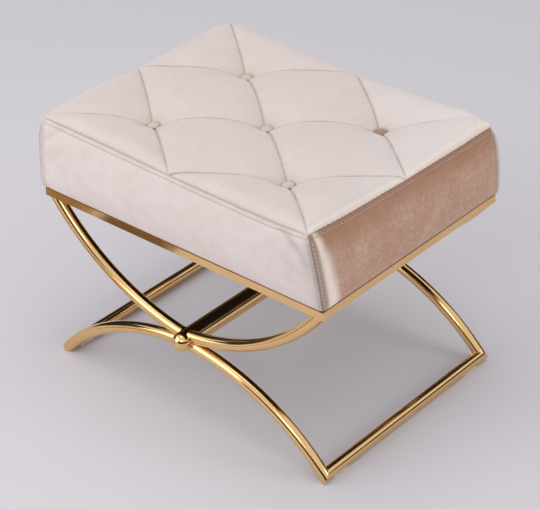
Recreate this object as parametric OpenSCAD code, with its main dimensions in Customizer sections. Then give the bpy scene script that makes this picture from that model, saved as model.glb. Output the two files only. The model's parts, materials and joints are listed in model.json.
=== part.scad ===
// Tufted ottoman on a crossed tube frame.
// X runs along the long side, Y along the short side, Z up. The origin is on the floor under the middle.

/* [Seat] */
// Length of the rim that carries the cushion
seat_l = 526; // [460:1:620]
// Width of the rim that carries the cushion
seat_w = 388; // [340:1:460]
// Height of the cushion's sides, from the rim to the top seam
cushion_h = 112; // [95:1:140]
// Depth of the foam's top below the top seam, filled with wadding
foam_drop = 26; // [22:1:40]
// Thickness of the plywood seat board
board_t = 12; // [10:1:15]

/* [Frame] */
// Height of the rim's underside above the floor
leg_h = 279; // [250:1:330]
// Height of the rim's rectangular tube
rim_h = 12; // [10:1:20]
// Width of the rim's rectangular tube
rim_t = 20; // [18:1:25]
// Wall of the rim's tube
rim_wall = 1.5; // [1:0.1:2.5]
// Diameter of the arms and floor bars
arm_d = 18; // [16:1:19]
// Wall of the arms and floor bars
arm_wall = 1.2; // [1:0.1:2]
// Radius of the curve of an upper arm
upper_arm_r = 368; // [300:1:600]
// Radius of the curve of a lower arm
lower_arm_r = 352; // [300:1:600]
// Diameter of the stretcher tube between the two crossings
stretcher_d = 30; // [28:1:36]
// Wall of the stretcher tube
stretcher_wall = 1.5; // [1:0.1:2.5]
// Height of the stretcher's axis above the floor
stretcher_z = 132; // [115:1:150]

/* [Tufting] */
// Diameter of a covered button
button_d = 18; // [14:1:20]
// Depth that a button pulls the top down
tuft_depth = 20; // [10:1:22]
// Height of the puffs between the pleats
puff_h = 8; // [3:0.5:11]
// Rise of the whole top from the seams to the middle
crown_h = 8; // [3:0.5:12]
// Swell of the sides at half height
side_bulge = 7; // [2:0.5:9]

/* [Hidden] */
$fn = 48;

// Colours
gold = [0.83, 0.66, 0.40];
velvet = [0.88, 0.82, 0.80];

// Overrun of every cut past the face that it opens
cut = 1;
// Clearance between soft layers, and between a strand and its hole
soft_gap = 0.3;

// Frame, worked out from the sizes above
half_l = seat_l / 2;
half_w = seat_w / 2;
rim_top = leg_h + rim_h;
// Gap between the outer face of an arm and the outer face of the rim
arm_setback = 0.5;
// Distance from the rim's end to the middle of an upper arm's top
arm_top_inset = 12;
// Distance from the rim's end to the middle of a floor bar
foot_inset = 10;
// Height of an arm's middle above or below the stretcher's axis where it meets the stretcher
arm_rise = 8;
// Share of the arm's root left beside the stretcher's middle, above its top
root_cut_share = 0.5;
arm_y = half_w - arm_setback - arm_d / 2;
stretcher_r = stretcher_d / 2;
arm_root_x = sqrt(pow(stretcher_r, 2) - pow(arm_rise, 2));
dome_spigot_l = 10;
dome_fit = 0.1;

// Floor pads under the ends of the floor bars
pad_under = 1;
pad_h = 3;
pad_w = 9;
pad_l = 30;
pad_inset = 40;
pad_fit = 0.1;
foot_z = pad_under + arm_d / 2;
foot_x = half_l - foot_inset;

// Corner plates and the screws that hold the seat
plate_t = 3;
plate_leg = 46;
plate_hole_inset = 15;
screw_d = 6;
screw_l = 20;
screw_head_d = 11;
screw_head_h = 3.3;
screw_socket_d = 4;
screw_socket_h = 2;
screw_clearance = 0.6;
washer_d = 13;
washer_t = 1.6;
tee_flange_d = 19;
tee_flange_t = 1.5;
tee_barrel_d = 8;
tee_barrel_l = 9;
tee_fit = 0.2;
screw_x = half_l - rim_t - plate_hole_inset;
screw_y = half_w - rim_t - plate_hole_inset;
screw_seat_z = rim_top - plate_t - washer_t;

// Cloth under the seat
dust_t = 0.6;
dust_inset = 8;
cloth_t = 1.4;
hem_w = 30;
hem_z = rim_top + dust_t;
board_z = hem_z + cloth_t;
foam_z = board_z + board_t;
cushion_inset = 1;
cushion_l = seat_l - 2 * cushion_inset;
cushion_w = seat_w - 2 * cushion_inset;
seam_z = rim_top + cushion_h;
foam_h = seam_z - foam_drop - foam_z;
wadding_t = 4;
board_inset = cushion_inset + cloth_t + wadding_t;
board_l = seat_l - 2 * board_inset;
board_w = seat_w - 2 * board_inset;
board_corner_r = 14;

// Staples
staple_w = 10;
staple_wire = 0.8;
staple_leg = 6;
staple_inset = 5;
staple_slot_fit = 0.1;
staples_long = 4;
staples_short = 3;
// Clear length that the staples keep from each corner plate
staple_end_gap = 20;
staple_x = half_l - rim_t - staple_inset;
staple_y = half_w - rim_t - staple_inset;
staple_span_x = half_l - rim_t - plate_leg - staple_end_gap;
staple_span_y = half_w - rim_t - plate_leg - staple_end_gap;

// Tufting: buttons at the middle and at the quarter points
button_dome_h = 4.5;
button_back_h = 3;
button_back_d = 6;
// Stand of a button's back above the bottom of its pit
button_stand = 1;
button_bore_depth = 3;
cord_d = 2;
cord_hole_d = 4;
washer_recess_d = 14;
washer_recess_h = 5;
cord_washer_d = 12;
cord_washer_t = 1;
knot_d = 3.6;
button_shares = [[0, 0], [-0.25, -0.25], [0.25, -0.25], [-0.25, 0.25], [0.25, 0.25]];

// Surface of the cushion: a lattice of cells with a column crowded in beside every button row
cells = 20;
waves = 4;
crowd_share = 0.5;
rows = 6;
edge_power = 6;
puff_power = 0.6;
// Radius within which a button pulls the cloth down
tuft_reach = 26;
tuft_power = 3;
// Radius of the cushion's vertical corners
corner_r = 12;
corner_pull = corner_r * (1 - cos(45));
// Share of the swell that the vertical corners keep
corner_share = 0.75;
swell_power = 0.4;
side_columns = [0, 1, 3, 5, 7, 10, 13, 15, 17, 19, 20];

// Share of the side's height at row k, with rows crowded in at the seams
function row_share(k) = (1 - cos(180 * k / rows)) / 2;

// Share of the cushion's length or width at column i, from the middle
function lattice_share(i) =
    i / cells - crowd_share * sin(360 * waves * i / cells) / (2 * PI * waves) - 1 / 2;

function tuft_pull(x, y) =
    max([for (s = button_shares)
        exp(-pow(norm([x - s.x * cushion_l, y - s.y * cushion_w]) / tuft_reach, tuft_power))]);

// Height of the cloth above the top seam at the shares p and q of the cushion's length and width
function top_rise(p, q) =
    let (
        edge = (1 - pow(abs(2 * p), edge_power)) * (1 - pow(abs(2 * q), edge_power)),
        puff = pow(abs(sin(360 * (p + q)) * sin(360 * (p - q))), puff_power),
        pull = tuft_pull(p * cushion_l, q * cushion_w)
    )
    edge * (crown_h + puff_h * puff) - tuft_depth * pull;

// Outward swell of a side at the share u of its length and v of its height
function swell(u, v) =
    side_bulge * pow(sin(180 * v), swell_power) * (corner_share + (1 - corner_share) * (1 - pow(2 * u, 4)));

// Point of the near side at column i and share v of the height, moved in by inset
function side_point(len, wid, i, v, inset, lift) =
    let (
        u = lattice_share(i),
        out = swell(u, v) - inset,
        corner = i == 0 || i == cells
    )
    corner
        ? [sign(u) * (len / 2 + out - corner_pull), -(wid / 2 + out - corner_pull), lift]
        : [u * len, -(wid / 2 + out), lift];

function turned(p, quarter) =
    quarter == 0 ? p
    : quarter == 1 ? [-p.y, p.x, p.z]
    : quarter == 2 ? [-p.x, -p.y, p.z]
    : [p.y, -p.x, p.z];

// Point of the top lattice, with its border moved in by inset and the whole lowered by drop
function top_point(i, j, inset, drop) =
    let (
        p = lattice_share(i),
        q = lattice_share(j),
        border_i = i == 0 || i == cells,
        border_j = j == 0 || j == cells,
        pull = border_i && border_j ? corner_pull : 0,
        x = border_i ? sign(p) * (cushion_l / 2 - inset - pull) : p * cushion_l,
        y = border_j ? sign(q) * (cushion_w / 2 - inset - pull) : q * cushion_w
    )
    [x, y, seam_z + (border_i || border_j ? 0 : top_rise(p, q)) - drop];

// Two triangles of one lattice cell, split along the pleat that runs nearest to it
function cell_faces(i, j, a, b, c, d) =
    let (
        half = cells / 2,
        rising = min((i - j + cells) % half, half - (i - j + cells) % half),
        falling = min((i + j + 1) % half, half - (i + j + 1) % half)
    )
    rising < falling ? [[a, d, c], [a, c, b]] : [[a, d, b], [b, d, c]];

function flipped(faces) = [for (f = faces) [f[0], f[2], f[1]]];

// Places of the seat screws, one in each corner
screw_spots = [for (x = [-screw_x, screw_x], y = [-screw_y, screw_y]) [x, y]];

// Places and turns of the staples
staple_spots = concat(
    [for (s = [-1, 1], i = [0 : staples_long - 1])
        [staple_span_x * (2 * i / (staples_long - 1) - 1), s * staple_y, 0]],
    [for (s = [-1, 1], i = [0 : staples_short - 1])
        [s * staple_x, staple_span_y * (2 * i / (staples_short - 1) - 1), 90]]
);

button_places = [for (s = button_shares) [s.x * cushion_l, s.y * cushion_w]];

// Height of the back of the button at the place p
function button_back_z(p) = seam_z + top_rise(p.x / cushion_l, p.y / cushion_w) + button_stand;

module rounded_rect(l, w, r) {
    square([l - 2 * r, w], center = true);
    square([l, w - 2 * r], center = true);
    for (x = [-1, 1], y = [-1, 1]) {
        translate([x * (l / 2 - r), y * (w / 2 - r)])
            circle(r);
    }
}

module at_buttons() {
    for (p = button_places) {
        translate([p.x, p.y, 0])
            children();
    }
}

module at_screws() {
    for (p = screw_spots) {
        translate([p.x, p.y, 0])
            children();
    }
}

// Rim
module rim_bar(len, wid) {
    module outline(inner, outer, over) {
        polygon([
            [-len / 2 + outer - over, -wid / 2 + outer],
            [len / 2 - outer + over, -wid / 2 + outer],
            [len / 2 - rim_t + inner + over, -wid / 2 + rim_t - inner],
            [-len / 2 + rim_t - inner - over, -wid / 2 + rim_t - inner]
        ]);
    }
    color(gold)
        translate([0, 0, leg_h])
            difference() {
                linear_extrude(rim_h)
                    outline(0, 0, 0);
                translate([0, 0, rim_wall])
                    linear_extrude(rim_h - 2 * rim_wall)
                        outline(rim_wall, rim_wall, cut);
            }
}

// Arms
function arc_centre(p, q, r) =
    let (
        chord = q - p,
        along = chord / norm(chord),
        reach = sqrt(r * r - pow(norm(chord) / 2, 2))
    )
    (p + q) / 2 + reach * [-along.y, along.x];

function polar_angle(p) = atan2(p.y, p.x);

module tube_ring(d, wall) {
    difference() {
        circle(d = d);
        circle(d = d - 2 * wall);
    }
}

// Bent tube in the plane of X and Z, counter-clockwise from p to q and a little past both ends
module bent_tube(p, q, r) {
    centre = arc_centre(p, q, r);
    start = polar_angle(p - centre);
    sweep = polar_angle(q - centre) - start;
    past = arm_d / r * 180 / PI;
    translate([centre.x, 0, centre.y])
        rotate([90, 0, 0])
            rotate([0, 0, start - past])
                rotate_extrude(angle = sweep + 2 * past, $fn = 4 * $fn)
                    translate([r, 0])
                        tube_ring(arm_d, arm_wall);
}

upper_root = [arm_root_x, stretcher_z + arm_rise];
upper_tip = [half_l - arm_top_inset, leg_h];
lower_root = [arm_root_x, stretcher_z - arm_rise];
lower_tip = [foot_x, foot_z];

// Stretcher's outside, which every arm is coped to, and the space over and under its middle
module root_cut() {
    rotate([90, 0, 0])
        cylinder(d = stretcher_d, h = 2 * arm_d, center = true);
    cube([2 * root_cut_share * arm_root_x, 2 * arm_d, 2 * stretcher_d], center = true);
    translate([-stretcher_d, -arm_d, -stretcher_d])
        cube([stretcher_d, 2 * arm_d, 2 * stretcher_d]);
}

module upper_arm() {
    color(gold)
        translate([0, -arm_y, 0])
            difference() {
                bent_tube(upper_root, upper_tip, upper_arm_r);
                translate([0, 0, stretcher_z])
                    root_cut();
                translate([-stretcher_d, -arm_d, stretcher_z - stretcher_d])
                    cube([seat_l, 2 * arm_d, stretcher_d]);
                translate([0, -arm_d, leg_h])
                    cube([seat_l, 2 * arm_d, 2 * arm_d]);
            }
}

// Steepness of a lower arm where it meets its floor bar
function foot_slope() = 90 - polar_angle(lower_tip - arc_centre(lower_tip, lower_root, lower_arm_r));

// Half space beyond the mitre between a lower arm and its floor bar, seen from the arm
module mitre_cut(turn) {
    translate([foot_x, 0, foot_z])
        rotate([0, foot_slope(), 0])
            rotate([0, 0, turn])
                translate([0, -2 * arm_d, -2 * arm_d])
                    cube([4 * arm_d, 4 * arm_d, 4 * arm_d]);
}

module lower_arm() {
    color(gold)
        translate([0, -arm_y, 0])
            difference() {
                bent_tube(lower_tip, lower_root, lower_arm_r);
                translate([0, 0, stretcher_z])
                    root_cut();
                translate([-stretcher_d, -arm_d, stretcher_z])
                    cube([2 * stretcher_d + foot_x, 2 * arm_d, stretcher_d]);
                mitre_cut(45);
            }
}

module floor_bar() {
    color(gold)
        difference() {
            translate([foot_x, 0, foot_z])
                rotate([90, 0, 0])
                    linear_extrude(2 * arm_y + 2 * arm_d, center = true)
                        tube_ring(arm_d, arm_wall);
            for (s = [0, 1]) {
                mirror([0, s, 0])
                    translate([0, -arm_y, 0])
                        mitre_cut(225);
            }
        }
}

// Place of an arm or plate in its corner: left is 1 for the left side, far is 1 for the far side
module in_corner(left, far) {
    mirror([left, 0, 0])
        mirror([0, far, 0])
            children();
}

module stretcher() {
    color(gold)
        translate([0, 0, stretcher_z])
            rotate([90, 0, 0])
                linear_extrude(seat_w, center = true)
                    tube_ring(stretcher_d, stretcher_wall);
}

// Domed end cap with a spigot that fits inside the stretcher
module dome() {
    spigot_r = stretcher_r - stretcher_wall - dome_fit;
    color(gold)
        translate([0, -half_w, stretcher_z])
            rotate([90, 0, 0])
                rotate_extrude() {
                    intersection() {
                        difference() {
                            circle(stretcher_r);
                            circle(stretcher_r - 2 * stretcher_wall);
                        }
                        square(stretcher_d);
                    }
                    translate([spigot_r - stretcher_wall, -dome_spigot_l])
                        square([stretcher_wall, dome_spigot_l + stretcher_wall]);
                }
}

module floor_pads() {
    color([0.9, 0.9, 0.9])
        for (x = [-foot_x, foot_x], y = [-half_w + pad_inset, half_w - pad_inset]) {
            translate([x, y, 0])
                difference() {
                    translate([-pad_w / 2, -pad_l / 2, 0])
                        cube([pad_w, pad_l, pad_h]);
                    translate([0, 0, foot_z])
                        rotate([90, 0, 0])
                            cylinder(d = arm_d + 2 * pad_fit, h = pad_l + 2 * cut, center = true);
                }
        }
}

module corner_plate() {
    color(gold)
        translate([half_l - rim_t, -half_w + rim_t, rim_top - plate_t])
            linear_extrude(plate_t)
                difference() {
                    polygon([[0, 0], [0, plate_leg], [-plate_leg, 0]]);
                    translate([-plate_hole_inset, plate_hole_inset])
                        circle(d = screw_d + screw_clearance);
                }
}

module seat_screws() {
    color("silver")
        at_screws() {
            translate([0, 0, screw_seat_z])
                cylinder(d = screw_d, h = screw_l);
            translate([0, 0, screw_seat_z - screw_head_h])
                difference() {
                    cylinder(d1 = screw_head_d - screw_head_h, d2 = screw_head_d, h = screw_head_h);
                    translate([0, 0, -cut])
                        cylinder(d = screw_socket_d, h = screw_socket_h + cut, $fn = 6);
                }
        }
}

module seat_washers() {
    color("silver")
        at_screws()
            translate([0, 0, screw_seat_z])
                linear_extrude(washer_t)
                    difference() {
                        circle(d = washer_d);
                        circle(d = screw_d + screw_clearance);
                    }
}

module tee_nuts() {
    color("silver")
        at_screws()
            difference() {
                union() {
                    translate([0, 0, foam_z])
                        cylinder(d = tee_flange_d, h = tee_flange_t);
                    translate([0, 0, foam_z - tee_barrel_l])
                        cylinder(d = tee_barrel_d, h = tee_barrel_l + tee_flange_t / 2);
                }
                translate([0, 0, foam_z - tee_barrel_l - cut])
                    cylinder(d = screw_d + tee_fit, h = tee_barrel_l + tee_flange_t + 2 * cut);
            }
}

// Slots that the staples' legs pass through, over the height h
module staple_slots(h) {
    wire = staple_wire + 2 * staple_slot_fit;
    for (s = staple_spots) {
        translate([s.x, s.y, 0])
            rotate([0, 0, s.z])
                for (x = [-1, 1]) {
                    translate([x * (staple_w - staple_wire) / 2 - wire / 2, -wire / 2, 0])
                        cube([wire, wire, h]);
                }
    }
}

module dust_cover() {
    color([0.08, 0.08, 0.08])
        translate([0, 0, rim_top])
            difference() {
                linear_extrude(dust_t)
                    rounded_rect(board_l - 2 * dust_inset, board_w - 2 * dust_inset, board_corner_r);
                translate([0, 0, -cut])
                    staple_slots(dust_t + 2 * cut);
                at_screws()
                    translate([0, 0, -cut])
                        cylinder(d = screw_d + 2 * screw_clearance, h = dust_t + 2 * cut);
            }
}

module staples() {
    color("silver")
        for (s = staple_spots) {
            translate([s.x, s.y, rim_top])
                rotate([0, 0, s.z]) {
                    translate([-staple_w / 2, -staple_wire / 2, -staple_wire])
                        cube([staple_w, staple_wire, staple_wire]);
                    for (x = [-staple_w / 2, staple_w / 2 - staple_wire]) {
                        translate([x, -staple_wire / 2, -staple_wire])
                            cube([staple_wire, staple_wire, staple_wire + staple_leg]);
                    }
                }
        }
}

module seat_board() {
    color([0.78, 0.62, 0.42])
        difference() {
            translate([0, 0, board_z])
                linear_extrude(board_t)
                    rounded_rect(board_l, board_w, board_corner_r);
            translate([0, 0, board_z - cut])
                staple_slots(staple_leg + cut);
            at_screws()
                translate([0, 0, board_z - cut])
                    cylinder(d = tee_barrel_d + tee_fit, h = board_t + 2 * cut);
            at_buttons() {
                translate([0, 0, board_z - cut])
                    cylinder(d = cord_hole_d, h = board_t + 2 * cut);
                translate([0, 0, board_z - cut])
                    cylinder(d = washer_recess_d, h = washer_recess_h + cut);
            }
        }
}

module foam() {
    color([0.95, 0.9, 0.7])
        difference() {
            translate([0, 0, foam_z])
                linear_extrude(foam_h)
                    rounded_rect(board_l, board_w, board_corner_r);
            at_screws()
                translate([0, 0, foam_z - cut])
                    cylinder(d = tee_flange_d + 2 * soft_gap, h = tee_flange_t + soft_gap + cut);
            at_buttons()
                translate([0, 0, foam_z - cut])
                    cylinder(d = cord_hole_d, h = foam_h + 2 * cut);
        }
}

// Wadding: wraps the foam and the board, and fills the puffs under the cover
module wadding() {
    inset = cloth_t + soft_gap;
    ring_n = 4 * cells;
    rings = [for (k = [0 : rows], side = [0 : 3], i = [0 : cells - 1])
        let (
            swap = side % 2 == 1,
            v = row_share(k),
            z = k == rows ? seam_z - inset : board_z + v * (seam_z - inset - board_z)
        )
        turned(
            side_point(swap ? cushion_w : cushion_l, swap ? cushion_l : cushion_w, i, v, inset, z),
            side
        )];
    inside = [for (j = [1 : cells - 1], i = [1 : cells - 1]) top_point(i, j, inset, inset)];
    function border(i, j) =
        rows * ring_n + (j == 0 ? i : i == cells ? cells + j : j == cells ? 3 * cells - i : 4 * cells - j);
    function at(i, j) =
        i == 0 || i == cells || j == 0 || j == cells
            ? border(i, j)
            : (rows + 1) * ring_n + (j - 1) * (cells - 1) + i - 1;
    middle = (rows + 1) * ring_n + pow(cells - 1, 2);
    top_faces = [for (i = [0 : cells - 1], j = [0 : cells - 1])
        each cell_faces(i, j, at(i, j), at(i + 1, j), at(i + 1, j + 1), at(i, j + 1))];
    side_faces = [for (k = [0 : rows - 1], m = [0 : ring_n - 1])
        let (
            a = k * ring_n + m,
            b = k * ring_n + (m + 1) % ring_n
        )
        each [[a, a + ring_n, b + ring_n], [a, b + ring_n, b]]];
    bottom_faces = [for (m = [0 : ring_n - 1]) [m, (m + 1) % ring_n, middle]];
    color([0.97, 0.97, 0.97])
        difference() {
            polyhedron(
                concat(rings, inside, [[0, 0, board_z]]),
                concat(top_faces, side_faces, bottom_faces)
            );
            translate([0, 0, board_z - cut])
                linear_extrude(board_t + foam_h + soft_gap + cut)
                    rounded_rect(board_l + 2 * soft_gap, board_w + 2 * soft_gap, board_corner_r + soft_gap);
            at_buttons()
                translate([0, 0, foam_z])
                    cylinder(d = cord_hole_d, h = cushion_h, $fn = 8);
        }
}

// Tufted top panel of the cover
module cover_top() {
    n = cells + 1;
    outer = [for (j = [0 : cells], i = [0 : cells]) top_point(i, j, 0, 0)];
    inner = [for (j = [0 : cells], i = [0 : cells]) top_point(i, j, 0, cloth_t)];
    top_faces = [for (i = [0 : cells - 1], j = [0 : cells - 1])
        each cell_faces(i, j, j * n + i, j * n + i + 1, (j + 1) * n + i + 1, (j + 1) * n + i)];
    loop = concat(
        [for (i = [0 : cells - 1]) i],
        [for (j = [0 : cells - 1]) j * n + cells],
        [for (i = [cells : -1 : 1]) cells * n + i],
        [for (j = [cells : -1 : 1]) j * n]
    );
    edge_faces = [for (m = [0 : len(loop) - 1])
        let (
            a = loop[m],
            b = loop[(m + 1) % len(loop)]
        )
        each [[a + n * n, a, b], [a + n * n, b, b + n * n]]];
    color(velvet)
        difference() {
            polyhedron(
                concat(outer, inner),
                concat(top_faces, [for (f = flipped(top_faces)) [for (p = f) p + n * n]], edge_faces)
            );
            at_buttons()
                translate([0, 0, foam_z])
                    cylinder(d = cord_hole_d, h = cushion_h, $fn = 6);
        }
}

// Side band of the cover, seen as the near side, with its hem turned in under the board
module cover_side(len, wid) {
    z_top = seam_z - cloth_t;
    columns = side_columns;
    count = 2 * (rows + 1) + 2;
    function row_z(k) = hem_z + row_share(k) * (z_top - hem_z);
    function outer(i, k) = side_point(len, wid, i, row_share(k), 0, row_z(k));
    function inner(i, k) = side_point(len, wid, i, row_share(k), cloth_t, max(row_z(k), board_z));
    function hem(i, z) =
        let (u = lattice_share(i))
        [
            u * (len - 2 * hem_w) - (i == 0 || i == cells ? sign(u) * corner_pull : 0),
            -(wid / 2 - hem_w) + (i == 0 || i == cells ? corner_pull : 0),
            z
        ];
    points = [for (i = columns) each concat(
        [for (k = [0 : rows]) outer(i, k)],
        [for (k = [rows : -1 : 0]) inner(i, k)],
        [hem(i, board_z), hem(i, hem_z)]
    )];
    last = (len(columns) - 1) * count;
    walls = [for (c = [0 : len(columns) - 2], r = [0 : count - 1])
        let (
            a = c * count + r,
            b = c * count + (r + 1) % count
        )
        each [[a, b, b + count], [a, b + count, a + count]]];
    cap = concat(
        [for (k = [0 : rows - 1])
            let (in = count - 3 - k)
            each [[k, in, in - 1], [k, in - 1, k + 1]]],
        [[0, count - 1, count - 2], [0, count - 2, count - 3]]
    );
    end_cap = [for (f = flipped(cap)) [for (p = f) p + last]];
    polyhedron(points, concat(walls, cap, end_cap));
}

module cover_band(quarter) {
    swap = quarter % 2 == 1;
    color(velvet)
        difference() {
            rotate([0, 0, 90 * quarter])
                cover_side(swap ? cushion_w : cushion_l, swap ? cushion_l : cushion_w);
            translate([0, 0, hem_z - cut])
                staple_slots(cloth_t + 2 * cut);
            at_screws()
                translate([0, 0, hem_z - cut])
                    cylinder(d = screw_d + 2 * screw_clearance, h = cloth_t + 2 * cut);
        }
}

// Covered buttons, each with a bore in its back for the cord
module buttons() {
    color(velvet)
        for (p = button_places) {
            translate([p.x, p.y, button_back_z(p)])
                difference() {
                    union() {
                        cylinder(d1 = button_back_d, d2 = button_d, h = button_back_h);
                        translate([0, 0, button_back_h])
                            button_dome();
                    }
                    translate([0, 0, -cut])
                        cylinder(d = cord_d + soft_gap, h = button_bore_depth + cut);
                }
        }
}

// Round cap of a button, part of a ball that stands button_dome_h high
module button_dome() {
    ball_r = (pow(button_d / 2, 2) + pow(button_dome_h, 2)) / (2 * button_dome_h);
    intersection() {
        translate([0, 0, button_dome_h - ball_r])
            sphere(ball_r);
        cylinder(d = button_d, h = button_dome_h);
    }
}

// Cords from the buttons down through the seat, each with a knot under its washer
module tuft_cords() {
    knot_z = board_z + washer_recess_h - cord_washer_t - knot_d / 2;
    color("white")
        for (p = button_places) {
            top = button_back_z(p) + button_bore_depth - soft_gap;
            translate([p.x, p.y, knot_z]) {
                cylinder(d = cord_d, h = top - knot_z);
                sphere(d = knot_d);
            }
        }
}

module cord_washers() {
    color("black")
        at_buttons()
            translate([0, 0, board_z + washer_recess_h - cord_washer_t])
                linear_extrude(cord_washer_t)
                    difference() {
                        circle(d = cord_washer_d);
                        circle(d = cord_d + soft_gap);
                    }
}

rim_bar(seat_l, seat_w);  // rim_near
rotate([0, 0, 180]) rim_bar(seat_l, seat_w);  // rim_far
rotate([0, 0, 270]) rim_bar(seat_w, seat_l);  // rim_left
rotate([0, 0, 90]) rim_bar(seat_w, seat_l);  // rim_right
in_corner(1, 0) upper_arm();  // upper_arm_near_left
in_corner(0, 0) upper_arm();  // upper_arm_near_right
in_corner(1, 1) upper_arm();  // upper_arm_far_left
in_corner(0, 1) upper_arm();  // upper_arm_far_right
in_corner(1, 0) lower_arm();  // lower_arm_near_left
in_corner(0, 0) lower_arm();  // lower_arm_near_right
in_corner(1, 1) lower_arm();  // lower_arm_far_left
in_corner(0, 1) lower_arm();  // lower_arm_far_right
in_corner(1, 0) floor_bar();  // floor_bar_left
in_corner(0, 0) floor_bar();  // floor_bar_right
stretcher();
in_corner(0, 0) dome();  // dome_near
in_corner(0, 1) dome();  // dome_far
floor_pads();
in_corner(1, 0) corner_plate();  // corner_plate_near_left
in_corner(0, 0) corner_plate();  // corner_plate_near_right
in_corner(1, 1) corner_plate();  // corner_plate_far_left
in_corner(0, 1) corner_plate();  // corner_plate_far_right
seat_screws();
seat_washers();
tee_nuts();
dust_cover();
staples();
seat_board();
foam();
wadding();
cover_top();
cover_band(0);  // cover_side_near
cover_band(2);  // cover_side_far
cover_band(3);  // cover_side_left
cover_band(1);  // cover_side_right
buttons();
tuft_cords();
cord_washers();
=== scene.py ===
# %% [markdown]
# # A tufted velvet ottoman on a crossed gold frame
# The real thing is a box cushion in champagne velvet, pulled down by five covered buttons, on a frame of
# polished gold tube. The frame is exact already: it comes in packed from the CAD part, so this script leaves
# it where it is and only gives it its metal. The cushion is cloth, so it is made here, in Blender, and takes
# the place of the plain cushion solids. Everything is in metres, with the floor at z = 0, the long side
# along X and the short side along Y.

import json
import math

import bpy
import numpy as np
from mathutils import Matrix, Vector


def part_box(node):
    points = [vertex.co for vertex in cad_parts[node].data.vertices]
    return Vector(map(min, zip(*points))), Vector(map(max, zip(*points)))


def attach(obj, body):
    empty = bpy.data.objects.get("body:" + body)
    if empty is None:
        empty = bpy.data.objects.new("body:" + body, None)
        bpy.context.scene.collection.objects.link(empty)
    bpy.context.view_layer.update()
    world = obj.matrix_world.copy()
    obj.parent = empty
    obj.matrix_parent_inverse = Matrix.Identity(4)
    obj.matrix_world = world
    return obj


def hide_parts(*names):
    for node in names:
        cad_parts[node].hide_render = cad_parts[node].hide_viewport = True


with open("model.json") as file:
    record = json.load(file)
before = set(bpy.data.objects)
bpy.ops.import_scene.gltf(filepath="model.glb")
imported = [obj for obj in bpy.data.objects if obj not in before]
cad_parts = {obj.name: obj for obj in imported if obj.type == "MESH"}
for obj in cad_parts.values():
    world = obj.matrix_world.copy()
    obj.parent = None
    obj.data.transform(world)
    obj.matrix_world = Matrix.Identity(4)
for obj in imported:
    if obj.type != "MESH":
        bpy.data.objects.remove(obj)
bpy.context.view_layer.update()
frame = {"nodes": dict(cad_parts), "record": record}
nodes = frame["nodes"]
bpy.ops.object.select_all(action="DESELECT")

# %% [markdown]
# ## The camera
# The photograph was taken from above the near right corner, with a long lens. Such a view could be found by
# moving the camera until the picture looks right. Here its place, direction and tilt come from the rim's
# corners, the feet and the seams of the cushion, so the frame falls where the photograph has it.

# %% Camera
camera_place = Vector((1.6200, -1.8010, 1.7235))
view_azimuth = math.radians(41.99)
view_elevation = math.radians(32.47)
view_tilt = math.radians(1.92)
lens_length = 129.6

view_direction = Vector((
    -math.sin(view_azimuth) * math.cos(view_elevation),
    math.cos(view_azimuth) * math.cos(view_elevation),
    -math.sin(view_elevation),
))
bpy.ops.object.camera_add(location=camera_place)
camera = bpy.context.object
camera.name = "camera"
turned = view_direction.to_track_quat("-Z", "Y").to_matrix() @ Matrix.Rotation(-view_tilt, 3, "Z")
camera.rotation_euler = turned.to_euler()
camera.data.lens = lens_length
camera.data.sensor_width = 36
bpy.context.scene.camera = camera
print("camera right", [round(v, 4) for v in turned.col[0]], "up", [round(v, 4) for v in turned.col[1]])

# %% [markdown]
# ## Recipes for materials
# A procedural material is a graph of nodes. Wired by hand it soon gets hard to read, so a small class wraps
# one output of a node and gives it the signs of arithmetic: an expression such as 1 - mask then adds its own
# Math node. Another small class holds a material's nodes and adds any other kind of node.

# %% Values and recipes
class Value:
    """One output of a node, which can be added, multiplied and so on."""

    def __init__(self, recipe, socket):
        self.recipe = recipe
        self.socket = socket

    def __add__(self, other):
        return self.recipe.maths("ADD", self, other)

    def __sub__(self, other):
        return self.recipe.maths("SUBTRACT", self, other)

    def __rsub__(self, other):
        return self.recipe.maths("SUBTRACT", other, self)

    def __mul__(self, other):
        return self.recipe.maths("MULTIPLY", self, other)

    __radd__ = __add__
    __rmul__ = __mul__


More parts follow.
